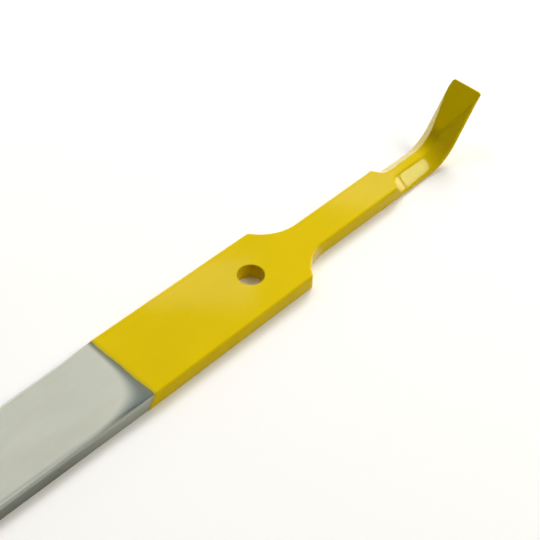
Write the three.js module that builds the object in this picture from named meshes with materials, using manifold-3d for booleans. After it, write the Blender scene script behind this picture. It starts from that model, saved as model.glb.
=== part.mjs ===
// Pry bar, in millimetres, +Z up. One flat steel forging with a bare chisel blade at the -X end,
// a hanging hole, a narrowed neck and a bevelled hook bent up at the +X end, under a thin coat of
// paint that stops short of the blade. The origin is the bottom centre of the whole bar's box.
import * as THREE from "three";
import { mergeVertices } from "three/addons/utils/BufferGeometryUtils.js";
import Module from "manifold-3d";

// ---------------------------------------------------------------- driving dimensions

// Places along the bar are measured from the hanging hole's axis, and sizes are taken over the paint.
const OVERALL_LENGTH = 260;
const THICKNESS = 5.7;
const ARRIS = 0.5; // chamfer on every long edge

const BLADE_EDGE_WIDTH = 29; // at the cutting edge
const BLADE_EDGE_THICKNESS = 1.1;
const BLADE_BEVEL_LENGTH = 20;
const BLADE_CORNER_RADIUS = 2.5;

const GRIP_WIDTH = 30; // at the paint line
const SHOULDER_WIDTH = 29.4;
const SHOULDER_RADIUS = 1.8; // outward corner
const NECK_FILLET_RADIUS = 17.2; // inward sweep from the shoulder to the neck
const NECK_START = 28; // end of that sweep
const NECK_START_WIDTH = 12.8;
const NECK_END = 66.4;
const NECK_END_WIDTH = 13;

// At the neck each of the hook's bevels ends in a slight hollow and then a steep ramp up to the top.
const RAMP_START = 66.6; // last plain section of the neck
const RAMP_SLOPE = THREE.MathUtils.degToRad(45.5); // from the bevel's own plane
const RUNOUT_END = 72.8; // where the hollow is over
const RUNOUT_RADIUS = 14;
const RUNOUT_TURN = THREE.MathUtils.degToRad(15.7); // of the hollow, up to the ramp's foot
const FLANK_HEIGHT = 1.65; // upright side below each bevel
const BEND_START = 85.4;
const BEND_RADIUS = 16.6; // of the underside
const BEND_ANGLE = THREE.MathUtils.degToRad(53.4);
const HOOK_LENGTH = 35.6; // along the underside, from the start of the bend to the tip
const TIP_WIDTH = 12.5;
const TIP_CORNER_RADIUS = 1.1;
const FACET_START = 16.9; // chisel facet on the inside of the hook, from the start of the bend
const FACET_MEETS_FLANK = 32.2;

// The two long sides, +Y and -Y. The bevels are ground by hand, so the ridge between them is not quite
// central, and the -Y shoulder lies a little nearer the hook than the +Y one.
const LEFT = { sign: 1, ridgeAtRunout: 1.5, ridgeAtFacet: 2.1, shoulderLag: 0 };
const RIGHT = { sign: -1, ridgeAtRunout: 1.4, ridgeAtFacet: 1.4, shoulderLag: 1.1 };

const HOLE_DIAMETER = 9;
const HOLE_CHAMFER = 0.25;

const PAINT_THICKNESS = 0.15; // with the clearance
const PAINT_CLEARANCE = 0.03; // between the paint and the steel, so that the two solids stay apart
const PAINT_LINE = -55; // on the top face
const PAINT_LINE_SLANT = 3.5; // how much further the paint reaches on the underside

// ---------------------------------------------------------------- derived places

// The hook's tip, which fixes the bar's +X end, and so the blade's end.
const BEND_LENGTH = BEND_RADIUS * BEND_ANGLE;
const TIP_RUN = HOOK_LENGTH - BEND_LENGTH;
const TIP_X = BEND_START + BEND_RADIUS * Math.sin(BEND_ANGLE) + TIP_RUN * Math.cos(BEND_ANGLE);
const TIP_STATION = BEND_START + HOOK_LENGTH;
const BLADE_END = TIP_X - OVERALL_LENGTH - PAINT_THICKNESS;
const BEVEL_ROOT = BLADE_END + BLADE_BEVEL_LENGTH;
const HOLE_X = OVERALL_LENGTH / 2 - TIP_X;

// The shoulder's corner circle touches the neck's fillet circle.
const FILLET_Y = NECK_START_WIDTH / 2 + NECK_FILLET_RADIUS;
const CORNER_Y = SHOULDER_WIDTH / 2 - SHOULDER_RADIUS;
const CENTRE_DISTANCE = NECK_FILLET_RADIUS + SHOULDER_RADIUS;
const CORNER_X = NECK_START - Math.sqrt(CENTRE_DISTANCE ** 2 - (FILLET_Y - CORNER_Y) ** 2);
const CORNER_TURN = Math.atan2(NECK_START - CORNER_X, FILLET_Y - CORNER_Y);

const FACET_STATION = BEND_START + FACET_START;

const RAMP_FOOT = RUNOUT_END - RUNOUT_RADIUS * Math.sin(RUNOUT_TURN);
const RAMP_FOOT_HEIGHT = RUNOUT_RADIUS * (1 - Math.cos(RUNOUT_TURN)); // above the bevel's plane

// ---------------------------------------------------------------- the bar's section along its length

const ARC_STEPS = 10;
const CORNER_STEPS = 5;
const RUNOUT_STEPS = 6;
const BEND_STEPS = 14;

const mix = (a, b, t) => a + (b - a) * t;
const share = (value, from, to) => (value - from) / (to - from);

/** Point and inward normal on the underside at a station, a length along the underside. */
function frameAt(station) {
  const past = Math.max(station - BEND_START, 0);
  const angle = Math.min(past / BEND_RADIUS, BEND_ANGLE);
  const straight = Math.max(past - BEND_LENGTH, 0);
  return {
    x: Math.min(station, BEND_START) + BEND_RADIUS * Math.sin(angle) + straight * Math.cos(angle),
    z: BEND_RADIUS * (1 - Math.cos(angle)) + straight * Math.sin(angle),
    normalX: -Math.sin(angle),
    normalZ: Math.cos(angle),
  };
}

/** Half the bar's width at a station, for a body that lies `inset` inside the finished surface. */
function halfWidthAt(station, inset) {
  const bladeCorner = BLADE_END + BLADE_CORNER_RADIUS;
  const tipCorner = TIP_STATION - TIP_CORNER_RADIUS;
  const corner = (width, radius, depth) =>
    width / 2 - radius + Math.sqrt(Math.max((radius - inset) ** 2 - depth ** 2, 0));
  if (station < bladeCorner) {
    return corner(BLADE_EDGE_WIDTH, BLADE_CORNER_RADIUS, bladeCorner - station);
  }
  if (station < PAINT_LINE) {
    return mix(BLADE_EDGE_WIDTH, GRIP_WIDTH, share(station, bladeCorner, PAINT_LINE)) / 2 - inset;
  }
  if (station < CORNER_X) {
    return mix(GRIP_WIDTH, SHOULDER_WIDTH, share(station, PAINT_LINE, CORNER_X)) / 2 - inset;
  }
  const cornerRadius = SHOULDER_RADIUS - inset;
  if (station < CORNER_X + cornerRadius * Math.sin(CORNER_TURN)) {
    return CORNER_Y + Math.sqrt(cornerRadius ** 2 - (station - CORNER_X) ** 2);
  }
  if (station < NECK_START) {
    return FILLET_Y - Math.sqrt((NECK_FILLET_RADIUS + inset) ** 2 - (station - NECK_START) ** 2);
  }
  if (station < NECK_END) {
    return mix(NECK_START_WIDTH, NECK_END_WIDTH, share(station, NECK_START, NECK_END)) / 2 - inset;
  }
  if (station < tipCorner) {
    return mix(NECK_END_WIDTH, TIP_WIDTH, share(station, NECK_END, tipCorner)) / 2 - inset;
  }
  return corner(TIP_WIDTH, TIP_CORNER_RADIUS, station - tipCorner);
}

/** Height of the bar's top above its underside: the blade's bevel, the flat, then the hook's facet. */
function topAt(station) {
  const blade = mix(BLADE_EDGE_THICKNESS, THICKNESS, share(station, BLADE_END, BEVEL_ROOT));
  const flank = share(station - BEND_START, FACET_START, FACET_MEETS_FLANK);
  return Math.min(blade, THICKNESS, mix(THICKNESS, FLANK_HEIGHT, flank));
}

/** How far a body's bevels stand out from their finished place: they rise at the run-out. */
function bevelShiftAt(station, inset) {
  if (station >= RUNOUT_END) return -inset;
  const reach = (RUNOUT_RADIUS + inset) ** 2 - (RUNOUT_END - station) ** 2;
  const hollow = RUNOUT_RADIUS - Math.sqrt(Math.max(reach, 0));
  const climb = (RAMP_FOOT - station) * Math.tan(RAMP_SLOPE) - inset / Math.cos(RAMP_SLOPE);
  return Math.max(hollow, RAMP_FOOT_HEIGHT + climb);
}

/** How far round the hollow its corner with the ramp lies, on a body that is inset. */
function footTurnAt(inset) {
  const across = RUNOUT_RADIUS * Math.cos(RAMP_SLOPE - RUNOUT_TURN) + inset;
  return RAMP_SLOPE - Math.acos(across / (RUNOUT_RADIUS + inset));
}

/** One side's bevel as a line in (y, height): the points where normal . point = reach. */
function bevelAt(station, side, inset) {
  const along = THREE.MathUtils.clamp(share(station, RUNOUT_END, FACET_STATION), 0, 1);
  const ridge = new THREE.Vector2(mix(side.ridgeAtRunout, side.ridgeAtFacet, along), THICKNESS);
  const run = halfWidthAt(station, 0) - ridge.x;
  const normal = new THREE.Vector2(THICKNESS - FLANK_HEIGHT, run).normalize();
  return { normal, reach: normal.dot(ridge) + bevelShiftAt(station, inset) };
}

/** How far the shoulder's sweep is moved towards the hook on a side: most at the outer corner. */
function lagAt(station, side) {
  const inSweep = station >= CORNER_X && station < NECK_START;
  return inSweep ? side.shoulderLag * (1 - share(station, CORNER_X, NECK_START)) : 0;
}

/** The four corners of one side's half of the section, from the underside up, as x, y, z points. */
function halfSection(station, side, inset) {
  const { x, z, normalX, normalZ } = frameAt(station);
  const { normal, reach } = bevelAt(station, side, inset);
  const edge = halfWidthAt(station, inset);
  const top = topAt(station) - inset;
  const arris = Math.min(ARRIS - inset * (2 - Math.SQRT2), (top - inset) / 3);
  const flank = Math.min(top - arris, (reach - edge * normal.x) / normal.y);
  const ridge = Math.min(edge - arris, (reach - top * normal.y) / normal.x);
  const corners = [
    [edge - arris, inset],
    [edge, inset + arris],
    [edge, flank],
    [ridge, top],
  ];
  const along = x + HOLE_X + lagAt(station, side);
  return corners.map(([y, height]) => [along + normalX * height, side.sign * y, z + normalZ * height]);
}

/** The bar's eight-cornered section at a station, in order round it. */
function sectionAt(station, inset) {
  return [...halfSection(station, LEFT, inset), ...halfSection(station, RIGHT, inset).reverse()];
}

/** Stations where a round stretch of the outline is cut, equal steps of its angle apart. */
function arcStations(centre, radius, fromAngle, toAngle, steps) {
  const angles = Array.from({ length: steps + 1 }, (_, i) => mix(fromAngle, toAngle, i / steps));
  return angles.map((angle) => centre + radius * Math.sin(angle));
}

function stationsFor(inset) {
  const quarter = Math.PI / 2;
  const footTurn = footTurnAt(inset);
  const bendStep = BEND_LENGTH / BEND_STEPS;
  const bend = Array.from({ length: BEND_STEPS + 1 }, (_, i) => BEND_START + bendStep * i);
  const stations = [
    ...arcStations(BLADE_END + BLADE_CORNER_RADIUS, BLADE_CORNER_RADIUS - inset, -quarter, 0, CORNER_STEPS),
    BEVEL_ROOT,
    PAINT_LINE,
    ...arcStations(CORNER_X, SHOULDER_RADIUS - inset, 0, CORNER_TURN, CORNER_STEPS),
    ...arcStations(NECK_START, NECK_FILLET_RADIUS + inset, -CORNER_TURN, 0, ARC_STEPS).slice(1),
    RAMP_START,
    ...arcStations(RUNOUT_END, RUNOUT_RADIUS + inset, -footTurn, 0, RUNOUT_STEPS),
    ...bend,
    FACET_STATION,
    BEND_START + FACET_MEETS_FLANK,
    ...arcStations(TIP_STATION - TIP_CORNER_RADIUS, TIP_CORNER_RADIUS - inset, 0, quarter, CORNER_STEPS),
  ];
  return stations.sort((a, b) => a - b);
}

// ---------------------------------------------------------------- solids

const wasm = await Module();
wasm.setup();

function solidFrom(positions, triangles) {
  const vertProperties = new Float32Array(positions);
  const triVerts = new Uint32Array(triangles);
  return new wasm.Manifold(new wasm.Mesh({ numProp: 3, vertProperties, triVerts }));
}

/** A skin through rings with the same number of corners, with a flat cap on each end ring. */
function loft(rings) {
  const count = rings[0].length;
  const triangles = [];
  const at = (ring, corner) => ring * count + (corner % count);
  for (let ring = 0; ring + 1 < rings.length; ring++) {
    for (let corner = 0; corner < count; corner++) {
      const near = [at(ring, corner), at(ring, corner + 1)];
      const far = [at(ring + 1, corner), at(ring + 1, corner + 1)];
      if (corner < count / 2) triangles.push(near[0], near[1], far[0], near[1], far[1], far[0]);
      else triangles.push(near[0], far[1], far[0], near[0], near[1], far[1]);
    }
  }
  const last = rings.length - 1;
  for (let corner = 1; corner + 1 < count; corner++) {
    triangles.push(at(0, 0), at(0, corner + 1), at(0, corner));
    triangles.push(at(last, 0), at(last, corner), at(last, corner + 1));
  }
  return solidFrom(rings.flat(2), triangles);
}

/** The hanging hole's space, chamfered at both faces, turned about the hole's axis. */
function holeSpace(inset) {
  const radius = HOLE_DIAMETER / 2 + inset;
  const clear = 1; // past each face
  const mouth = radius + HOLE_CHAMFER + clear;
  const profile = [
    [0, inset - clear],
    [mouth, inset - clear],
    [radius, inset + HOLE_CHAMFER],
    [radius, THICKNESS - inset - HOLE_CHAMFER],
    [mouth, THICKNESS - inset + clear],
    [0, THICKNESS - inset + clear],
  ];
  const segments = 48;
  const turned = new THREE.LatheGeometry(profile.map(([r, z]) => new THREE.Vector2(r, z)), segments);
  turned.rotateX(Math.PI / 2);
  turned.translate(HOLE_X, 0, 0);
  return solidOf(turned);
}

function solidOf(geometry) {
  geometry.deleteAttribute("normal");
  geometry.deleteAttribute("uv");
  const merged = mergeVertices(geometry, 1e-4);
  return solidFrom(merged.attributes.position.array, merged.index.array);
}

/** The whole bar with its hole, lying `inset` inside the finished surface. */
function bar(inset) {
  const body = loft(stationsFor(inset).map((station) => sectionAt(station, inset)));
  return body.subtract(holeSpace(inset));
}

/** A block over everything that is painted, with its slanted end at the paint line. */
function paintedZone() {
  const margin = 10;
  const slope = PAINT_LINE_SLANT / THICKNESS;
  const line = PAINT_LINE + HOLE_X;
  const outline = new THREE.Shape([
    new THREE.Vector2(line - slope * (THICKNESS + margin), -margin),
    new THREE.Vector2(OVERALL_LENGTH, -margin),
    new THREE.Vector2(OVERALL_LENGTH, OVERALL_LENGTH),
    new THREE.Vector2(line - slope * (THICKNESS - OVERALL_LENGTH), OVERALL_LENGTH),
  ]);
  const block = new THREE.ExtrudeGeometry(outline, { depth: GRIP_WIDTH * 2, bevelEnabled: false });
  block.rotateX(Math.PI / 2);
  block.translate(0, GRIP_WIDTH, 0);
  return solidOf(block);
}

// ---------------------------------------------------------------- pieces

function piece(name, solid, material) {
  const { numProp, vertProperties, triVerts } = solid.getMesh();
  const geometry = new THREE.BufferGeometry();
  const positions = new THREE.InterleavedBuffer(vertProperties, numProp);
  geometry.setAttribute("position", new THREE.InterleavedBufferAttribute(positions, 3, 0));
  geometry.setIndex(new THREE.BufferAttribute(triVerts, 1));
  geometry.computeVertexNormals();
  const mesh = new THREE.Mesh(geometry, material);
  mesh.name = name;
  return mesh;
}

const satinSteel = new THREE.MeshStandardMaterial({ color: 0xb9bdb2, metalness: 1, roughness: 0.38 });
const yellowPaint = new THREE.MeshStandardMaterial({ color: 0xd9be0e, metalness: 0, roughness: 0.35 });

const steel = bar(PAINT_THICKNESS);
const paint = bar(0).intersect(paintedZone()).subtract(bar(PAINT_THICKNESS - PAINT_CLEARANCE));

const pryBar = new THREE.Group();
pryBar.name = "pry_bar";
pryBar.add(piece("steel_bar", steel, satinSteel));
pryBar.add(piece("paint_coat", paint, yellowPaint));

export default pryBar;
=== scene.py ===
"""The looks of the pry bar: one steel forging with a bare, satin-ground blade, and its coat of yellow
enamel. Both skins are cut from one shape function of the bar, at different depths below its surface."""
import math

import bmesh
import bpy
import numpy as np
from mathutils import Matrix, Vector


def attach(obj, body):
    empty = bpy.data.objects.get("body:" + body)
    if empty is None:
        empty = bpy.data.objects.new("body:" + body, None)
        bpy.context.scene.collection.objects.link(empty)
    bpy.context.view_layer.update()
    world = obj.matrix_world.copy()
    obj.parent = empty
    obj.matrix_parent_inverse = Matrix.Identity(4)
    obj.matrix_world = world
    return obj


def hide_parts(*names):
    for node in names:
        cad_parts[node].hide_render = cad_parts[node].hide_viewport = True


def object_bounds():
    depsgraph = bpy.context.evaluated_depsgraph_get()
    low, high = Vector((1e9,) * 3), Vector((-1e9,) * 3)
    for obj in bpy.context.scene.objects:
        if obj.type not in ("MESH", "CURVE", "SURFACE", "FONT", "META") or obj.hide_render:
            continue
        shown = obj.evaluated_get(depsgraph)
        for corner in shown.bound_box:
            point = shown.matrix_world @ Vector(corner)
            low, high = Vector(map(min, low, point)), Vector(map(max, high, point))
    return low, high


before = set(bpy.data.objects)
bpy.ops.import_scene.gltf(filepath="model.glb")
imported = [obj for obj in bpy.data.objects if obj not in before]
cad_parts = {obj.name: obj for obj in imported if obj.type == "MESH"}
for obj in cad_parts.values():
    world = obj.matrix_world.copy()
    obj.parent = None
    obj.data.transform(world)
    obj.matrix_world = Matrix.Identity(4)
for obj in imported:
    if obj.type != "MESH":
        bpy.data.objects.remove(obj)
CAD_LOW, CAD_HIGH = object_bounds()

# ---------------------------------------------------------------- dimensions, in millimetres
# Stations are lengths along the underside from the hanging hole's axis.
MM = 0.001
OVERALL_LENGTH = (CAD_HIGH.x - CAD_LOW.x) / MM
THICKNESS = 5.7

BLADE_EDGE_WIDTH = 29.0
BLADE_EDGE_THICKNESS = 1.1
BLADE_BEVEL_LENGTH = 20.0
BLADE_CORNER_RADIUS = 2.5
BLADE_ROOT_ROUND = 0.35

GRIP_WIDTH = (CAD_HIGH.y - CAD_LOW.y) / MM
SHOULDER_WIDTH = 29.4
SHOULDER_RADIUS = 1.8
NECK_FILLET_RADIUS = 17.2
NECK_START = 28.0
NECK_START_WIDTH = 12.8
NECK_END = 66.4
NECK_END_WIDTH = 13.0

# At the neck each of the hook's bevels ends in a slight hollow and then a steep ramp up to the top.
RAMP_START = 66.6
RAMP_SLOPE = math.radians(45.5)
RUNOUT_END = 72.8
RUNOUT_RADIUS = 14.0
RUNOUT_TURN = math.radians(15.7)
FLANK_HEIGHT = 1.65
BEND_START = 85.4
BEND_RADIUS = 16.6
BEND_ANGLE = math.radians(53.4)
HOOK_LENGTH = 35.6
TIP_WIDTH = 12.5
TIP_CORNER_RADIUS = 1.1
FACET_START = 16.9
FACET_MEETS_FLANK = 32.2

HOLE_RADIUS = 4.5
HOLE_RIM_ROUND = 0.35
HOLE_PATCH = 7.7  # half the side of the square of skin that is laid out round the hole

EDGE_ROUND = 0.7  # top edges of the grip and neck
BLADE_EDGE_ROUND = 1.7
HOOK_EDGE_ROUND = 0.35
BOTTOM_ROUND = 0.6
CREASE_ROUND = 0.3  # between the top and the hook's ground faces
FOOT_ROUND = 0.4  # in the corner between the run-out's ramp and its hollow
THIN_ROUND = 0.38  # most that an edge is rounded, as a share of the bar's thickness there
NOSE_ROUND = 0.3  # blade's edge and hook's tip

STEEL_DEPTH = 0.15  # below the finished surface
PAINT_DEPTH = 0.12  # the enamel's inner side
PAINT_LINE = -55.0
PAINT_LINE_SLANT = 3.5
PAINT_LIP = 0.7  # width over which the enamel thins out at its edge
LIP_THINNING = 0.8  # share of its thickness that it loses there
PAINT_FADE = 13.0  # from the paint line, past which rings no longer follow it
PAINT_SETBACK = -0.35
PAINT_WANDER = ((0.12, 2.3), (0.07, 0.7))  # heights and lengths of its edge's waves

BEND_LENGTH = BEND_RADIUS * BEND_ANGLE
TIP_RUN = HOOK_LENGTH - BEND_LENGTH
TIP_X = BEND_START + BEND_RADIUS * math.sin(BEND_ANGLE) + TIP_RUN * math.cos(BEND_ANGLE)
TIP_STATION = BEND_START + HOOK_LENGTH
HOLE_X = CAD_HIGH.x / MM - TIP_X
BLADE_END = TIP_X - OVERALL_LENGTH - STEEL_DEPTH
BEVEL_ROOT = BLADE_END + BLADE_BEVEL_LENGTH
RAMP_FOOT = RUNOUT_END - RUNOUT_RADIUS * math.sin(RUNOUT_TURN)
RAMP_FOOT_HEIGHT = RUNOUT_RADIUS * (1 - math.cos(RUNOUT_TURN))  # above the bevel's plane
FACET_STATION = BEND_START + FACET_START

FILLET_Y = NECK_START_WIDTH / 2 + NECK_FILLET_RADIUS
CORNER_Y = SHOULDER_WIDTH / 2 - SHOULDER_RADIUS
CENTRE_DISTANCE = NECK_FILLET_RADIUS + SHOULDER_RADIUS
CORNER_X = NECK_START - math.sqrt(CENTRE_DISTANCE**2 - (FILLET_Y - CORNER_Y) ** 2)
CORNER_TURN = math.atan2(NECK_START - CORNER_X, FILLET_Y - CORNER_Y)

# The hand-ground differences between the two long sides: how far each ridge between the hook's bevels lies
# from the middle, at the run-out and at the facet, and how much nearer the hook the -Y shoulder lies.
LEFT_RIDGE = (1.5, 2.1)
RIGHT_RIDGE = (1.4, 1.4)
LAG_BLEND = (-5.0, 5.0)
RIGHT_LAG = (1.1, 0.0)
LAG_START = 8.0


# ---------------------------------------------------------------- the bar as a shape function


def mix(a, b, t):
    return a + (b - a) * t


def share(value, start, end):
    return (value - start) / (end - start)


def smooth_step(value, start, end):
    t = np.clip(share(value, start, end), 0, 1)
    return t * t * (3 - 2 * t)


def smooth_max(a, b, radius):
    """The larger of two distances, with the corner where they are equal rounded to that radius."""
    over = np.hypot(np.maximum(a + radius, 0), np.maximum(b + radius, 0))
    return np.minimum(np.maximum(a, b), -radius) + over


def grip_half(station):
    knots = (BLADE_END + BLADE_CORNER_RADIUS, PAINT_LINE, CORNER_X)
    return np.interp(station, knots, (BLADE_EDGE_WIDTH, GRIP_WIDTH, SHOULDER_WIDTH)) / 2


def neck_half(station):
    knots = (NECK_START, NECK_END, TIP_STATION - TIP_CORNER_RADIUS)
    return np.interp(station, knots, (NECK_START_WIDTH, NECK_END_WIDTH, TIP_WIDTH)) / 2


def plan_distance(station, y):
    """Distance outside the bar's outline, seen square to its flat."""
    across = np.abs(y)
    grip = across - grip_half(station)
    sweep = NECK_FILLET_RADIUS - np.hypot(station - NECK_START, across - FILLET_Y)
    ahead, out = station - CORNER_X, across - CORNER_Y
    at_corner = (ahead > 0) & (math.sin(CORNER_TURN) * out > math.cos(CORNER_TURN) * ahead)
    shoulder = np.where(at_corner, np.hypot(ahead, out) - SHOULDER_RADIUS, np.maximum(grip, sweep))
    side = np.where(station < NECK_START, shoulder, across - neck_half(station))
    blade = smooth_max(side, BLADE_END - station, BLADE_CORNER_RADIUS)
    tip = smooth_max(side, station - TIP_STATION, TIP_CORNER_RADIUS)
    return np.where(station < 0, blade, tip)


def top_height(station):
    """Height of the top above the underside, with sharp creases."""
    blade = mix(BLADE_EDGE_THICKNESS, THICKNESS, share(station, BLADE_END, BEVEL_ROOT))
    facet = mix(THICKNESS, FLANK_HEIGHT, share(station - BEND_START, FACET_START, FACET_MEETS_FLANK))
    return np.minimum(np.minimum(blade, THICKNESS), facet)


def slope_distance(station, height, root, slope):
    """Distance above a slope that leaves the top at a root station, rising by that slope."""
    return (height - THICKNESS - slope * (station - root)) / math.hypot(1, slope)


def top_distance(station, height):
    blade_slope = (THICKNESS - BLADE_EDGE_THICKNESS) / BLADE_BEVEL_LENGTH
    facet_slope = -(THICKNESS - FLANK_HEIGHT) / (FACET_MEETS_FLANK - FACET_START)
    blade = slope_distance(station, height, BEVEL_ROOT, blade_slope)
    facet = slope_distance(station, height, FACET_STATION, facet_slope)
    return smooth_max(smooth_max(height - THICKNESS, blade, BLADE_ROOT_ROUND), facet, CREASE_ROUND)


def ridge_at(station, y):
    """How far from the middle the ridge of the hook's bevel lies on that side."""
    along = np.clip(share(station, RUNOUT_END, FACET_STATION), 0, 1)
    return np.where(y > 0, mix(*LEFT_RIDGE, along), mix(*RIGHT_RIDGE, along))


def bevel_distance(station, y, height):
    """Distance above the hook's bevels, which run out at the neck in a hollow and a ramp."""
    ridge = ridge_at(station, y)
    run = neck_half(station) - ridge
    drop = THICKNESS - FLANK_HEIGHT
    above = ((np.abs(y) - ridge) * drop + (height - THICKNESS) * run) / np.hypot(run, drop)
    hollow = RUNOUT_RADIUS - np.hypot(RUNOUT_END - station, RUNOUT_RADIUS - above)
    hollow = np.where(station >= RUNOUT_END, above, hollow)
    ahead, up = station - RAMP_FOOT, above - RAMP_FOOT_HEIGHT
    ramp = math.sin(RAMP_SLOPE) * ahead + math.cos(RAMP_SLOPE) * up
    return -smooth_max(-hollow, -ramp, FOOT_ROUND)


def edge_round(station):
    """Most that the top's long edges are rounded: more on the ground blade, less on the hook."""
    hook = mix(EDGE_ROUND, HOOK_EDGE_ROUND, smooth_step(station, RAMP_START - 3, RAMP_START + 1))
    return mix(BLADE_EDGE_ROUND, hook, smooth_step(station, PAINT_LINE - 14, PAINT_LINE - 3))


def bar_distance(station, y, height):
    """Distance outside the finished bar, below zero inside it."""
    thin = THIN_ROUND * top_height(station)
    roof = smooth_max(top_distance(station, height), bevel_distance(station, y, height), CREASE_ROUND)
    walls = smooth_max(roof, plan_distance(station, y), np.minimum(edge_round(station), thin))
    body = smooth_max(walls, -height, np.minimum(BOTTOM_ROUND, thin))
    hole = HOLE_RADIUS - np.hypot(station, y)
    return smooth_max(body, hole, HOLE_RIM_ROUND)


NUDGE = 1e-4  # step over which slopes are taken
SETTLE_ROUNDS = 8
LONGEST_MOVE = 0.4  # of a point in one round, times the slope
LEAST_STEEPNESS = 0.25  # square of the slope below which a round's move is held back


def slopes_of(function, points):
    """How the function's value changes along station, y and height, one row for each point."""
    found = []
    for axis in np.eye(3) * NUDGE:
        found.append((function(points + axis) - function(points - axis)) / (2 * NUDGE))
    return np.array(found)


def distance_of(points):
    return bar_distance(*points.T)


def settle(points, depth):
    """Moves points, as station, y and height, to the surface that lies that deep below the finished one."""
    for _ in range(SETTLE_ROUNDS):
        slope = slopes_of(distance_of, points).T
        move = (distance_of(points) + depth) / np.maximum((slope**2).sum(1), LEAST_STEEPNESS)
        points = points - np.clip(move, -LONGEST_MOVE, LONGEST_MOVE)[:, None] * slope
    return points


def in_place(points):
    """Station, y and height as x, y and z in metres."""
    station, y, height = points.T
    past = np.maximum(station - BEND_START, 0)
    angle = np.minimum(past / BEND_RADIUS, BEND_ANGLE)
    straight = np.maximum(past - BEND_LENGTH, 0)
    x = np.minimum(station, BEND_START) + BEND_RADIUS * np.sin(angle) + straight * np.cos(angle)
    z = BEND_RADIUS * (1 - np.cos(angle)) + straight * np.sin(angle)
    near, far = share(station, LAG_START, CORNER_X), share(station, NECK_START, CORNER_X)
    lag = np.clip(np.minimum(near, far), 0, 1) * np.interp(y, LAG_BLEND, RIGHT_LAG)
    x = x + HOLE_X + lag - np.sin(angle) * height
    return np.column_stack([x, y, z + np.cos(angle) * height]) * MM


def normals_at(points):
    """The surface's own outward normals in place, so that shading follows the curve and not the facets."""
    along, across, up = slopes_of(in_place, points)
    slope = slopes_of(distance_of, points)[:, :, None]
    normal = slope[0] * np.cross(across, up) + slope[1] * np.cross(up, along)
    normal = normal + slope[2] * np.cross(along, across)
    return normal / np.maximum(np.linalg.norm(normal, axis=1), 1e-20)[:, None]


# ---------------------------------------------------------------- rings and skins


def spaced(start, end, step):
    return list(np.linspace(start, end, max(1, round((end - start) / step)) + 1))


def arc(centre, radius, from_angle, to_angle, steps):
    return [centre + radius * math.sin(a) for a in np.linspace(from_angle, to_angle, steps + 1)]


def stations(depth):
    """Where the rings of a skin are cut between its rounded ends, close together where the shape turns."""
    blade_corner = BLADE_END + BLADE_CORNER_RADIUS
    tip_corner = TIP_STATION - TIP_CORNER_RADIUS
    bend_end = BEND_START + BEND_LENGTH
    wanted = [
        *spaced(BLADE_END + depth + NOSE_ROUND, blade_corner, 0.2),
        *spaced(blade_corner, BEVEL_ROOT - 1, 1.5),
        *spaced(BEVEL_ROOT - 1, BEVEL_ROOT + 1, 0.2),
        *spaced(BEVEL_ROOT + 1, PAINT_LINE - 20, 2.0),
        *spaced(PAINT_LINE - 20, PAINT_LINE + 14, 0.7),
        *spaced(PAINT_LINE + 14, -HOLE_PATCH, 2.0),
        *spaced(-HOLE_PATCH, HOLE_PATCH, HOLE_PATCH / PATCH_COLUMNS),
        *spaced(HOLE_PATCH, CORNER_X, 0.8),
        *arc(CORNER_X, SHOULDER_RADIUS - depth, 0, CORNER_TURN, 10),
        *arc(NECK_START, NECK_FILLET_RADIUS + depth, -CORNER_TURN, 0, 26),
        *spaced(NECK_START, RAMP_START - 3, 2.0),
        *spaced(RAMP_START - 3, RAMP_START - 0.6, 0.4),
        *spaced(RAMP_START - 0.6, RAMP_FOOT + 0.8, 0.12),
        *spaced(RAMP_FOOT + 0.8, RUNOUT_END + 0.5, 0.25),
        *spaced(RUNOUT_END + 0.5, BEND_START, 1.2),
        *spaced(BEND_START, bend_end, 0.55),
        *spaced(bend_end, FACET_STATION + 1, 0.2),
        *spaced(FACET_STATION + 1, tip_corner, 0.6),
        *spaced(tip_corner, TIP_STATION - depth - NOSE_ROUND, 0.12),
    ]
    kept = []
    for station in sorted(wanted):
        if not kept or station - kept[-1] > NEAREST_RINGS:
            kept.append(station)
    return kept


def crowded(steps, ends):
    """Shares from 0 to 1 that lie closer together towards the far end, or towards both ends."""
    t = np.linspace(0, 1, steps + 1)
    return np.sin(t * math.pi / 2) if ends == 1 else (1 - np.cos(t * math.pi)) / 2


NEAREST_RINGS = 0.02
PATCH_COLUMNS = 8
PATCH_SHARE = 0.54
FLAT_SHARES = np.concatenate(
    [np.linspace(0, PATCH_SHARE, PATCH_COLUMNS + 1), mix(PATCH_SHARE, 1, crowded(6, 1)[1:])]
)
ARRIS = 0.5  # chamfer of the plain section that a ring is settled from


def half_width_inside(station, depth):
    """Half the width of a body that lies that deep inside the finished bar."""
    blade_corner = BLADE_END + BLADE_CORNER_RADIUS
    tip_corner = TIP_STATION - TIP_CORNER_RADIUS
    if station < blade_corner:
        reach = (BLADE_CORNER_RADIUS - depth) ** 2 - (blade_corner - station) ** 2
        return BLADE_EDGE_WIDTH / 2 - BLADE_CORNER_RADIUS + math.sqrt(max(reach, 0))
    if station > tip_corner:
        reach = (TIP_CORNER_RADIUS - depth) ** 2 - (station - tip_corner) ** 2
        return TIP_WIDTH / 2 - TIP_CORNER_RADIUS + math.sqrt(max(reach, 0))
    corner = SHOULDER_RADIUS - depth
    if CORNER_X < station < CORNER_X + corner * math.sin(CORNER_TURN):
        return CORNER_Y + math.sqrt(corner**2 - (station - CORNER_X) ** 2)
    if CORNER_X < station < NECK_START:
        return FILLET_Y - math.sqrt((NECK_FILLET_RADIUS + depth) ** 2 - (station - NECK_START) ** 2)
    return float(grip_half(station) if station < NECK_START else neck_half(station)) - depth


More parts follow.
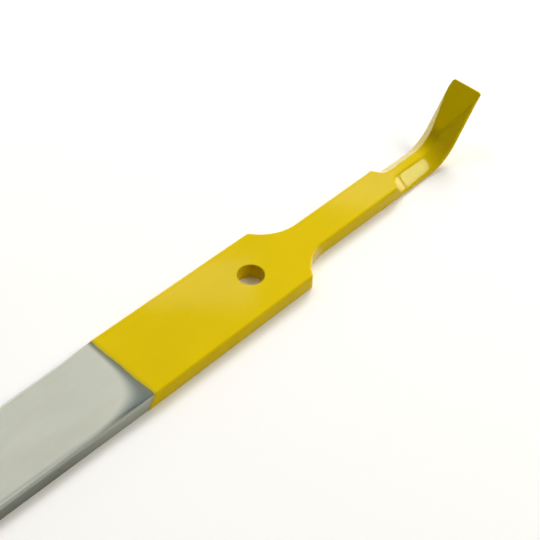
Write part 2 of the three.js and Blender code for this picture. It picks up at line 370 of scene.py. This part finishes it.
def bevel_shift(station, depth):
    """How far above its finished place the bevel lies on a body that deep inside the bar."""
    if station >= RUNOUT_END:
        return -depth
    reach = (RUNOUT_RADIUS + depth) ** 2 - (RUNOUT_END - station) ** 2
    hollow = RUNOUT_RADIUS - math.sqrt(max(reach, 0))
    climb = (RAMP_FOOT - station) * math.tan(RAMP_SLOPE) - depth / math.cos(RAMP_SLOPE)
    return max(hollow, RAMP_FOOT_HEIGHT + climb)


def half_ring(station, sign, depth):
    """One side's half of the section, from the middle of the underside to the middle of the top."""
    edge = half_width_inside(station, depth)
    top = float(top_height(station)) - depth
    arris = min(ARRIS, (top - depth) / 3)
    ridge_line = float(ridge_at(station, sign))
    run, drop = float(neck_half(station)) - ridge_line, THICKNESS - FLANK_HEIGHT
    shift = bevel_shift(station, depth) * math.hypot(run, drop)
    flank = min(top - arris, THICKNESS + (shift - (edge - ridge_line) * drop) / run)
    ridge = min(edge - arris, ridge_line + (shift - (top - THICKNESS) * run) / drop)
    bottom = [(0, depth), (edge - arris, depth), (edge, depth + arris)]
    corners = [*bottom, (edge, flank), (ridge, top), (0, top)]
    shares = [FLAT_SHARES, np.linspace(0, 1, 5), crowded(6, 2), crowded(12, 2), 1 - FLAT_SHARES[::-1]]
    points = [(station, 0, depth)]
    for (y0, z0), (y1, z1), steps in zip(corners, corners[1:], shares):
        points += [(station, sign * mix(y0, y1, t), mix(z0, z1, t)) for t in steps[1:]]
    return points


def ring(station, depth):
    left, right = half_ring(station, 1, depth), half_ring(station, -1, depth)
    return np.array(left + right[-2:0:-1])


def nose_rings(end, inward, depth):
    """The rings that round an end off, from the last full one to the edge of the end's flat."""
    rings = []
    for angle in np.linspace(0, math.pi / 2, 7):
        station = end + inward * (depth + NOSE_ROUND * (1 - math.sin(angle)))
        rings.append(ring(station, depth + NOSE_ROUND * (1 - math.cos(angle))))
    return rings


class Skin:
    """Rough points as station, y and height, the depth that each settles to, and the faces between them."""

    def __init__(self):
        self.count = 0
        self.blocks = []
        self.depths = []
        self.faces = []

    def add(self, points, depth):
        """Adds a ring of points for one depth and returns their numbers."""
        self.blocks.append(points)
        self.depths += [depth] * len(points)
        self.count += len(points)
        return list(range(self.count - len(points), self.count))

    def join(self, one, other, skipped=()):
        for i in range(len(one)):
            if i not in skipped:
                j = (i + 1) % len(one)
                self.faces.append((one[i], one[j], other[j], other[i]))

    def cap(self, loop):
        """Closes an end ring with strips from underside to top, and one face beyond them on each side."""
        half = len(loop) // 2
        flat = len(FLAT_SHARES) - 1
        for side in (loop[: half + 1], [loop[0], *loop[:half:-1], loop[half]]):
            for i in range(flat):
                self.faces.append((side[i], side[i + 1], side[half - i - 1], side[half - i]))
            self.faces.append(tuple(side[flat : half - flat + 1]))

    def lay(self, rings, depth):
        """Joins rings into a tube, open at its ends and pierced by the hanging hole."""
        loops = [self.add(points, depth) for points in rings]
        half = len(loops[0]) // 2
        patched = [k for k, points in enumerate(rings) if abs(points[0][0]) <= HOLE_PATCH + NUDGE]
        gap = range(-PATCH_COLUMNS, PATCH_COLUMNS)
        skipped = {half + j for j in gap} | {j % (2 * half) for j in gap}
        for k in range(len(loops) - 1):
            in_patch = k in patched and k + 1 in patched
            self.join(loops[k], loops[k + 1], skipped if in_patch else ())
        rows = [loops[k] for k in patched]
        top = self.patch_border(rows, lambda j: half + j)
        bottom = self.patch_border(rows, lambda j: -j % (2 * half))
        self.pierce(top, bottom, depth)
        return loops

    def patch_border(self, rows, column):
        """The points round a square patch, anticlockwise from its low station, high y corner."""
        low, high = -PATCH_COLUMNS, PATCH_COLUMNS
        border = [rows[0][column(j)] for j in range(low, high)]
        border += [row[column(high)] for row in rows[:-1]]
        border += [rows[-1][column(j)] for j in range(high, low, -1)]
        return border + [row[column(low)] for row in rows[:0:-1]]

    def pierce(self, top, bottom, depth):
        """Fills both patches up to the hole's rims and joins them down its wall."""
        last = top
        for points in hole_loops(len(top), depth):
            loop = self.add(points, depth)
            self.join(last, loop)
            last = loop
        self.join(last, bottom)


def hole_loops(count, depth):
    """Loops from the top patch in to the hole's rim, down its wall and out again on the underside."""
    angles = math.radians(135) + np.arange(count) * 2 * math.pi / count
    around = np.column_stack([np.cos(angles), np.sin(angles)])
    square = around / np.abs(around).max(axis=1)[:, None] * HOLE_PATCH
    rim = HOLE_RADIUS + HOLE_RIM_ROUND
    turn = HOLE_RIM_ROUND - depth
    flat = THICKNESS - depth
    outlines = [(mix(square, around * (rim + 1), share_in), flat) for share_in in (0.35, 0.7, 1)]
    outlines.append((around * (rim + 0.2), flat))
    for angle in np.linspace(0, math.pi / 2, 7):
        outlines.append((around * (rim - turn * math.sin(angle)), flat - turn * (1 - math.cos(angle))))
    outlines.append((around * (HOLE_RADIUS + depth), THICKNESS * 0.7))
    loops = [np.column_stack([outline, np.full(count, height)]) for outline, height in outlines]
    return loops + [loop * (1, 1, -1) + (0, 0, THICKNESS) for loop in loops[::-1]]


def solid_from(name, skin, inner_side=()):
    """A mesh of the settled skin, shaded by the surface's own normals, which point in on its inner side."""
    points = settle(np.concatenate(skin.blocks), np.array(skin.depths))
    mesh = bpy.data.meshes.new(name)
    mesh.from_pydata(in_place(points).tolist(), [], skin.faces)
    solid = bmesh.new()
    solid.from_mesh(mesh)
    bmesh.ops.recalc_face_normals(solid, faces=solid.faces)
    solid.to_mesh(mesh)
    solid.free()
    mesh.polygons.foreach_set("use_smooth", [True] * len(mesh.polygons))
    normals = normals_at(points)
    normals[list(inner_side)] *= -1
    mesh.normals_split_custom_set_from_vertices(normals.tolist())
    made = bpy.data.objects.new(name, mesh)
    bpy.context.scene.collection.objects.link(made)
    return made


# ---------------------------------------------------------------- pieces


def steel_bar():
    skin = Skin()
    blade, tip = nose_rings(BLADE_END, 1, STEEL_DEPTH), nose_rings(TIP_STATION, -1, STEEL_DEPTH)
    body = [ring(station, STEEL_DEPTH) for station in stations(STEEL_DEPTH)[1:-1]]
    loops = skin.lay([*blade[::-1], *body, *tip], STEEL_DEPTH)
    skin.cap(loops[0])
    skin.cap(loops[-1])
    return solid_from("forged_bar", skin)


def at_paint_line(points):
    """Moves a ring to the paint's edge, which wanders a little and leans towards the blade below."""
    station, y, height = points.T
    wander = sum(size * np.cos(y / length + height) for size, length in PAINT_WANDER)
    edge = PAINT_SETBACK + wander - PAINT_LINE_SLANT * (1 - height / THICKNESS)
    fade = 1 - smooth_step(station, PAINT_LINE + PAINT_LIP, PAINT_LINE + PAINT_FADE)
    return np.column_stack([station + edge * fade, y, height])


def paint_rings(depth):
    """Rings of the coat's outer or inner side beyond its thinned lip."""
    places = [s for s in stations(depth)[:-1] if s > PAINT_LINE + PAINT_LIP + NEAREST_RINGS]
    rings = [at_paint_line(ring(station, depth)) for station in places]
    return rings + nose_rings(TIP_STATION, -1, depth)


def paint_coat():
    """A closed shell: its outer side, its inner side and the thin lip that joins them at the paint line."""
    skin = Skin()
    lip = []
    for along in np.linspace(0, 1, 7):
        depth = PAINT_DEPTH * LIP_THINNING * (1 - along) ** 2
        points = at_paint_line(ring(PAINT_LINE + PAINT_LIP * along, depth))
        lip.append(skin.add(points, depth))
    outer = skin.lay(paint_rings(0), 0)
    inner_edge = skin.add(at_paint_line(ring(PAINT_LINE, PAINT_DEPTH)), PAINT_DEPTH)
    inner = skin.lay(paint_rings(PAINT_DEPTH), PAINT_DEPTH)
    for one, other in zip([inner_edge, *lip], [*lip, outer[0]]):
        skin.join(one, other)
    skin.join(inner_edge, inner[0])
    skin.cap(outer[-1])
    skin.cap(inner[-1])
    return solid_from("enamel_coat", skin, range(inner_edge[0], skin.count))


# ---------------------------------------------------------------- materials


def node(tree, kind, values=None, **settings):
    """Adds a shader node. Values are given by socket name or number, as constants or as other sockets."""
    made = tree.nodes.new(kind)
    for name, value in settings.items():
        setattr(made, name, value)
    for name, value in (values or {}).items():
        if isinstance(value, bpy.types.NodeSocket):
            tree.links.new(value, made.inputs[name])
        else:
            made.inputs[name].default_value = value
    return made


def new_material(name):
    material = bpy.data.materials.new(name)
    material.use_nodes = True
    tree = material.node_tree
    shader = tree.nodes["Principled BSDF"]
    place = node(tree, "ShaderNodeTexCoord").outputs["Object"]
    return material, tree, shader, place


def noise(tree, place, sizes, detail=2.0, roughness=0.5):
    """Noise with features of these sizes along x, y and z, in millimetres."""
    scale = tuple(1 / (size * MM) for size in sizes)
    stretched = node(tree, "ShaderNodeMapping", {"Vector": place, "Scale": scale}).outputs[0]
    values = {"Vector": stretched, "Scale": 1.0, "Detail": detail, "Roughness": roughness}
    return node(tree, "ShaderNodeTexNoise", values).outputs["Fac"]


def math_node(tree, operation, first, second=0.0):
    return node(tree, "ShaderNodeMath", {0: first, 1: second}, operation=operation).outputs[0]


def ramp(tree, value, low, high, to_low=0.0, to_high=1.0):
    """The value's stretch from low to high, eased, as to_low to to_high."""
    values = {"Value": value, "From Min": low, "From Max": high, "To Min": to_low, "To Max": to_high}
    return node(tree, "ShaderNodeMapRange", values, interpolation_type="SMOOTHSTEP").outputs[0]


def blend(tree, factor, one, other):
    values = {0: factor}
    made = node(tree, "ShaderNodeMix", values, data_type="RGBA")
    for number, colour in ((6, one), (7, other)):
        if isinstance(colour, bpy.types.NodeSocket):
            tree.links.new(colour, made.inputs[number])
        else:
            made.inputs[number].default_value = (*colour, 1)
    return made.outputs[2]


def bump(tree, height, strength, distance, normal=None):
    values = {"Height": height, "Strength": strength, "Distance": distance * MM}
    if normal:
        values["Normal"] = normal
    return node(tree, "ShaderNodeBump", values).outputs["Normal"]


def ahead_of_paint_line(tree, place):
    """How far a point lies past the paint's slanted edge, in metres: above zero where there is paint."""
    axes = node(tree, "ShaderNodeSeparateXYZ", {"Vector": place}).outputs
    line = (HOLE_X + PAINT_LINE + PAINT_SETBACK - PAINT_LINE_SLANT) * MM
    lean = math_node(tree, "MULTIPLY", axes["Z"], PAINT_LINE_SLANT / THICKNESS)
    return math_node(tree, "SUBTRACT", math_node(tree, "SUBTRACT", axes["X"], line), lean)


ENAMEL_DARK = (0.635, 0.468, 0.001)
ENAMEL_LIGHT = (0.665, 0.49, 0.002)
ENAMEL_SPECK = (0.55, 0.38, 0.001)
# Darker olive along the enamel's edge: partly its thinned lip over the steel, partly painted shade.
THIN_ENAMEL_AND_SHADE = (0.36, 0.33, 0.03)
THIN_ENAMEL_AND_SHADE_FADE = (0.1 * MM, 1.5 * MM)  # distances from its edge over which that colour fades out
ENAMEL_ROUGHNESS = (0.05, 0.08)
ENAMEL_SPECULAR = 0.04
COAT_RANGE = (0.53, 0.65)  # how slantingly the surface is seen as its clear coat sets in, 1 for edge on
COAT_ROUGHNESS = 0.2


def enamel():
    """Yellow enamel, glossy where it is seen at a slant: nearly even in colour, with a faint orange peel."""
    material, tree, shader, place = new_material("yellow_enamel")
    clouds = ramp(tree, noise(tree, place, (22, 14, 14)), 0.3, 0.7)
    colour = blend(tree, clouds, ENAMEL_DARK, ENAMEL_LIGHT)
    specks = ramp(tree, noise(tree, place, (0.5, 0.5, 0.5), 3), 0.62, 0.75, 0, 0.2)
    colour = blend(tree, specks, colour, ENAMEL_SPECK)
    # partly the thinned lip over the steel, partly painted shade along the enamel's edge
    thin = ramp(tree, ahead_of_paint_line(tree, place), *THIN_ENAMEL_AND_SHADE_FADE, 0.6, 0)
    colour = blend(tree, thin, colour, THIN_ENAMEL_AND_SHADE)
    tree.links.new(colour, shader.inputs["Base Color"])
    haze = noise(tree, place, (9, 6, 6), 3)
    tree.links.new(ramp(tree, haze, 0.3, 0.7, *ENAMEL_ROUGHNESS), shader.inputs["Roughness"])
    swell = bump(tree, noise(tree, place, (7, 6, 6)), 0.3, 0.02)
    peel = bump(tree, noise(tree, place, (1.2, 1.2, 1.2), 1), 0.2, 0.01, swell)
    tree.links.new(peel, shader.inputs["Normal"])
    shader.inputs["Specular IOR Level"].default_value = ENAMEL_SPECULAR
    slanting = node(tree, "ShaderNodeLayerWeight").outputs["Facing"]
    tree.links.new(ramp(tree, slanting, *COAT_RANGE), shader.inputs["Coat Weight"])
    shader.inputs["Coat Roughness"].default_value = COAT_ROUGHNESS
    return material


STEEL_DARK_STREAK = (0.65, 0.67, 0.575)
STEEL_LIGHT_STREAK = (0.67, 0.69, 0.595)
STEEL_WARM = (0.67, 0.635, 0.54)
STEEL_CLOUD = (0.53, 0.54, 0.47)
# Painted dark reflection: the steel's flat is coloured darker towards the paint, standing in for a dim
# reflection there.
STEEL_PAINTED_DARK_REFLECTION = (0.46, 0.47, 0.40)
STEEL_DARK_REFLECTION_FADE = (8 * MM, 55 * MM)  # distances from the paint over which that colour fades out
# Painted dark reflection, darkest in the flat's corner between the paint and the -Y edge.
CORNER_PAINTED_REFLECTION = (0.15, 0.18, 0.17)
CORNER_PAINTED_REFLECTION_SIZE = 50.0  # distance from the paint times distance from the edge, in square millimetres
CORNER_PAINTED_REFLECTION_FADE = (9 * MM, 24 * MM)
# Olive band on the steel next to the paint: partly a thin film of paint, partly painted shade along the
# paint's edge.
PAINT_FILM_AND_SHADE = (0.22, 0.215, 0.13)
PAINT_FILM_AND_SHADE_WIDTH = 2.4 * MM
# Painted shade: the steel's upright sides get darker colours than its flat, lighter near the paint where a
# painted highlight runs along them.
SIDE_PAINTED_SHADE_NEAR_PAINT = (0.36, 0.38, 0.32)
SIDE_PAINTED_SHADE_FAR = (0.22, 0.23, 0.20)
SIDE_PAINTED_SHADE_FADE = 40 * MM
# How level the surface lies, 0 on an upright side and 1 on the flat, where one look gives way to another:
# the painted dark reflection, the sides' painted shade and the roughness.
REFLECTION_LEVELS = (0.55, 0.95)
SIDE_PAINTED_SHADE_LEVELS = (0.15, 0.75)
ROUGHNESS_LEVELS = (0.2, 0.8)
STEEL_ROUGHNESS = (0.52, 0.34)  # on the sides and on the flat
STREAK_ROUGHNESS = (-0.04, 0.06)  # what the fine streaks add to it


def ground_steel():
    """Satin steel, ground along the bar, with a painted dark reflection that grows darker towards the paint
    and darkest in the corner beside it, and painted shade on its sides.
    """
    material, tree, shader, place = new_material("satin_steel")
    facing = node(tree, "ShaderNodeNewGeometry").outputs["Normal"]
    rise = node(tree, "ShaderNodeSeparateXYZ", {"Vector": facing}).outputs["Z"]
    level = math_node(tree, "ABSOLUTE", rise)
    streaks = noise(tree, place, (22, 0.5, 0.5), 4, 0.6)
    fine = noise(tree, place, (6, 0.16, 0.16), 2, 0.6)
    colour = blend(tree, ramp(tree, streaks, 0.3, 0.7), STEEL_DARK_STREAK, STEEL_LIGHT_STREAK)
    warm = ramp(tree, noise(tree, place, (45, 5.0, 5.0), 1), 0.45, 0.75, 0, 0.5)
    colour = blend(tree, warm, colour, STEEL_WARM)
    axes = node(tree, "ShaderNodeSeparateXYZ", {"Vector": place}).outputs
    behind = math_node(tree, "MULTIPLY", ahead_of_paint_line(tree, place), -1.0)
    # painted dark reflection, darker towards the paint
    colour = blend(tree, ramp(tree, behind, *STEEL_DARK_REFLECTION_FADE, 0.42, 0), colour, STEEL_PAINTED_DARK_REFLECTION)
    clouds = ramp(tree, noise(tree, place, (15, 8, 8), 3), 0.38, 0.66, 0, 0.3)
    colour = blend(tree, clouds, colour, STEEL_CLOUD)
    # A painted dark reflection in the corner between the paint and the -Y edge, on the flat only.
    inward = math_node(tree, "ADD", axes["Y"], GRIP_WIDTH / 2 * MM)
    past_line = math_node(tree, "MAXIMUM", behind, 0)
    past_edge = math_node(tree, "MAXIMUM", inward, 0)
    corner = math_node(tree, "MULTIPLY", past_line, past_edge)
    corner_reflection = ramp(tree, corner, 0, CORNER_PAINTED_REFLECTION_SIZE * MM * MM, 1, 0)
    corner_reflection = math_node(tree, "MULTIPLY", corner_reflection, ramp(tree, behind, *CORNER_PAINTED_REFLECTION_FADE, 1, 0))
    corner_reflection = math_node(tree, "MULTIPLY", corner_reflection, ramp(tree, level, *REFLECTION_LEVELS))
    colour = blend(tree, corner_reflection, colour, CORNER_PAINTED_REFLECTION)
    # partly a thin film of paint, partly painted shade beside the paint's edge
    film_and_shade = ramp(tree, behind, 0, PAINT_FILM_AND_SHADE_WIDTH, 0.6, 0)
    colour = blend(tree, film_and_shade, colour, PAINT_FILM_AND_SHADE)
    # painted shade on the upright sides, with a painted highlight near the paint
    side = blend(tree, ramp(tree, behind, 0, SIDE_PAINTED_SHADE_FADE), SIDE_PAINTED_SHADE_NEAR_PAINT, SIDE_PAINTED_SHADE_FAR)
    colour = blend(tree, ramp(tree, level, *SIDE_PAINTED_SHADE_LEVELS), side, colour)
    tree.links.new(colour, shader.inputs["Base Color"])
    rough = ramp(tree, level, *ROUGHNESS_LEVELS, *STEEL_ROUGHNESS)
    rough = math_node(tree, "ADD", rough, ramp(tree, fine, 0.3, 0.7, *STREAK_ROUGHNESS))
    tree.links.new(rough, shader.inputs["Roughness"])
    broad = bump(tree, streaks, 0.15, 0.01)
    scratch = bump(tree, fine, 0.12, 0.005, broad)
    tree.links.new(scratch, shader.inputs["Normal"])
    shader.inputs["Metallic"].default_value = 1.0
    return material


FLOOR_DARK = (0.895, 0.90, 0.925)
FLOOR_LIGHT = (0.91, 0.915, 0.94)
FLOOR_GLOW = 0.03


def floor_paper():
    material, tree, shader, place = new_material("floor_paper")
    grain = noise(tree, place, (3, 3, 3), 3)
    tree.links.new(blend(tree, grain, FLOOR_DARK, FLOOR_LIGHT), shader.inputs["Base Color"])
    shader.inputs["Roughness"].default_value = 0.9
    shader.inputs["Emission Color"].default_value = (1, 1, 1, 1)
    shader.inputs["Emission Strength"].default_value = FLOOR_GLOW
    return material


# ---------------------------------------------------------------- the studio

CAMERA_PLACE = Vector((-0.190395, -0.204462, 0.306248))
CAMERA_AIM = Vector((0.025244, -0.002919, 0.0057))
CAMERA_ROLL = math.radians(1.578)
CAMERA_LENS = 86.138
FLOOR_SIZE = 6.0
FLOOR_DROP = 0.00005
ROOM_GLOW = (0.0015, 0.015)  # as a light, from its dimmest side to its brightest
ROOM_BRIGHT_SIDE = (30, 25)  # azimuth and elevation
BACKDROP_GLOW = 0.85  # as the camera sees it
# Where on the bar the reflections of the boxes that aim at it are to fall.
HOOK_BEVEL = Vector((0.098, -0.004, 0.004))
GRIP_TOP = Vector((0.005, 0.009, 0.0057))
NECK_TOP = Vector((0.077, 0.004, 0.0057))


def towards(azimuth, elevation):
    """A direction, with azimuth in degrees from +X towards +Y and elevation above the floor."""
    turn, rise = math.radians(azimuth), math.radians(elevation)
    return Vector((math.cos(turn) * math.cos(rise), math.sin(turn) * math.cos(rise), math.sin(rise)))


def softbox(name, azimuth, elevation, distance, size, radiance, colour=(1, 1, 1), aim=Vector(), use="both"):
    """A rectangular light that faces the bar. Its power follows from the brightness of its own face, and it
    either lights the bar ("flood"), shows as a reflection in it ("mirror"), or both."""
    light = bpy.data.lights.new(name, "AREA")
    light.shape = "RECTANGLE"
    light.size, light.size_y = size
    light.energy = math.pi * size[0] * size[1] * radiance
    light.color = colour
    box = bpy.data.objects.new(name, light)
    direction = towards(azimuth, elevation)
    box.location = aim + direction * distance
    box.rotation_euler = direction.to_track_quat("Z", "Y").to_euler()
    box.visible_camera = False
    box.visible_glossy = use != "flood"
    box.visible_diffuse = use != "mirror"
    bpy.context.scene.collection.objects.link(box)


def studio():
    """Broad boxes light the bar, and others are seen only as reflections in it. The cards stand where the
    bare steel reflects to when it is seen from the other sides."""
    softbox("key_box", 50, 44, 1.2, (1.6, 1.0), 0.92, (1.0, 1.0, 0.97))
    softbox("main_box", 20, 39, 2.5, (1.17, 1.17), 10.4, (1, 0.99, 0.96), use="flood")
    softbox("side_fill", -40, 43, 2.4, (1.54, 1.03), 6.5, (1, 0.93, 0.78), use="flood")
    softbox("back_fill", 85, 15, 1.4, (1.0, 0.5), 1.6)
    softbox("top_fill", 95, 60, 2.0, (1.0, 0.7), 2.6, use="flood")
    softbox("lamp_box", -41.1, 34.4, 1.0, (0.042, 0.044), 80.0, (0.87, 1, 0.58), HOOK_BEVEL, "mirror")
    softbox("window_box", -24.0, 21.5, 1.0, (0.25, 0.27), 36.0, aim=HOOK_BEVEL, use="mirror")
    softbox("edge_box", -45, 60, 1.2, (1.8, 1.3), 0.38, use="mirror")
    softbox("grip_glow", 47.5, 46.1, 1.0, (0.12, 0.05), 6.5, aim=GRIP_TOP, use="mirror")
    softbox("neck_glow", 38, 41.5, 1.0, (0.09, 0.05), 6.5, aim=NECK_TOP, use="mirror")
    softbox("rear_card", 232, 24, 1.6, (3.0, 1.0), 0.6, use="mirror")
    softbox("right_card", -50, 8, 1.6, (2.0, 0.26), 0.7, use="mirror")
    softbox("left_card", 162, 24, 1.6, (1.7, 1.0), 0.6, use="mirror")
    softbox("top_card", 230, 75, 1.2, (1.2, 1.2), 0.5, use="mirror")
    world = bpy.data.worlds.new("pale_room")
    world.use_nodes = True
    tree = world.node_tree
    sky = tree.nodes["Background"]
    sky.inputs["Color"].default_value = (1, 1, 1, 1)
    direction = node(tree, "ShaderNodeTexCoord").outputs["Generated"]
    values = {0: direction, 1: towards(*ROOM_BRIGHT_SIDE)}
    ahead = node(tree, "ShaderNodeVectorMath", values, operation="DOT_PRODUCT")
    glow = ramp(tree, ahead.outputs["Value"], 0.0, 1.0, *ROOM_GLOW)
    seen = node(tree, "ShaderNodeLightPath").outputs["Is Camera Ray"]
    tree.links.new(ramp(tree, seen, 0.0, 1.0, glow, BACKDROP_GLOW), sky.inputs["Strength"])
    bpy.context.scene.world = world
    bpy.context.scene.view_settings.view_transform = "Standard"


def floor():
    mesh = bpy.data.meshes.new("floor")
    half = FLOOR_SIZE / 2
    corners = [(-half, -half), (half, -half), (half, half), (-half, half)]
    mesh.from_pydata([(x, y, -FLOOR_DROP) for x, y in corners], [], [(0, 1, 2, 3)])
    sheet = bpy.data.objects.new("floor", mesh)
    sheet.data.materials.append(floor_paper())
    bpy.context.scene.collection.objects.link(sheet)


def camera():
    view = bpy.data.cameras.new("camera")
    view.lens = CAMERA_LENS
    view.clip_start = 0.01
    eye = bpy.data.objects.new("camera", view)
    eye.location = CAMERA_PLACE
    turn = (CAMERA_AIM - CAMERA_PLACE).to_track_quat("-Z", "Y").to_matrix().to_4x4()
    eye.rotation_euler = (turn @ Matrix.Rotation(CAMERA_ROLL, 4, "Z")).to_euler()
    bpy.context.scene.collection.objects.link(eye)
    bpy.context.scene.camera = eye


def dress(piece, cad_node, material):
    piece.data.materials.append(material)
    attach(piece, "root")
    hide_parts(cad_node)


camera()
studio()
floor()
dress(steel_bar(), "steel_bar", ground_steel())
dress(paint_coat(), "paint_coat", enamel())
